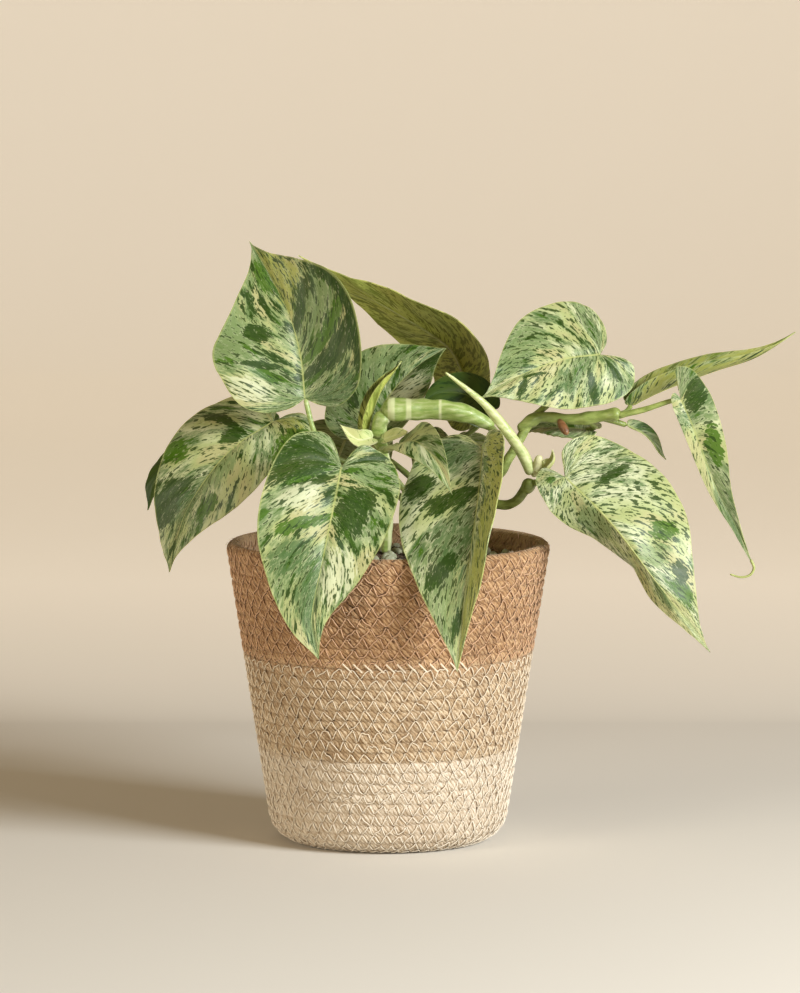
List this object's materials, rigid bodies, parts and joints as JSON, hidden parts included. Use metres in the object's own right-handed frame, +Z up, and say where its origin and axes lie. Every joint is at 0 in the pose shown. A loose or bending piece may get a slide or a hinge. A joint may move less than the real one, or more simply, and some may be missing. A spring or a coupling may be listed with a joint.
{
  "type": "potted variegated heartleaf philodendron",
  "caption": "Trailing aroid with folded, marbled heart-shaped leaves on arching petioles, rooted in a grow pot inside a tapered coiled rope basket in bands of cream, beige and tan.",
  "frame": {"origin": "middle of the basket's base, on the surface that it stands on", "axes": "+Z up; +X to the right of the plant's front view; +Y away from the viewer, towards the back of the plant"},
  "size_m": [0.3018, 0.1822, 0.2781],
  "materials": {
    "rope_cream": "matte",
    "rope_beige": "matte",
    "rope_tan": "matte",
    "grow_pot": "matte",
    "soil": "rough",
    "dressing": "rough",
    "stem": "satin",
    "leaf": "satin",
    "sheath": "satin",
    "shoot": "satin"
  },
  "bodies": {
    "root": {"basket_lower_cream": "rope_cream", "basket_middle_beige": "rope_beige", "basket_upper_tan": "rope_tan", "grow_pot": "grow_pot", "soil": "soil", "top_dressing": "dressing", "stem_left": "stem", "stem_right": "stem", "stem_front": "stem", "stem_back": "stem", "leaf_upper_left": "leaf", "leaf_arching_back": "leaf", "leaf_lower_left": "leaf", "leaf_left_behind": "leaf", "leaf_front_left": "leaf", "leaf_front_right": "leaf", "leaf_upper_centre": "leaf", "leaf_upper_right": "leaf", "leaf_rolled_right": "leaf", "leaf_far_right": "leaf", "leaf_lower_right": "leaf", "leaf_small_right": "leaf", "leaf_centre_back": "leaf", "leaf_spear_centre": "leaf", "leaf_small_centre": "leaf", "leaf_edge_on_right": "leaf", "leaf_back_left": "leaf", "leaf_back_right": "leaf", "sheath_left": "sheath", "sheath_centre": "sheath", "sheath_right": "sheath", "shoot_rolled": "shoot"}
  },
  "joints": []
}
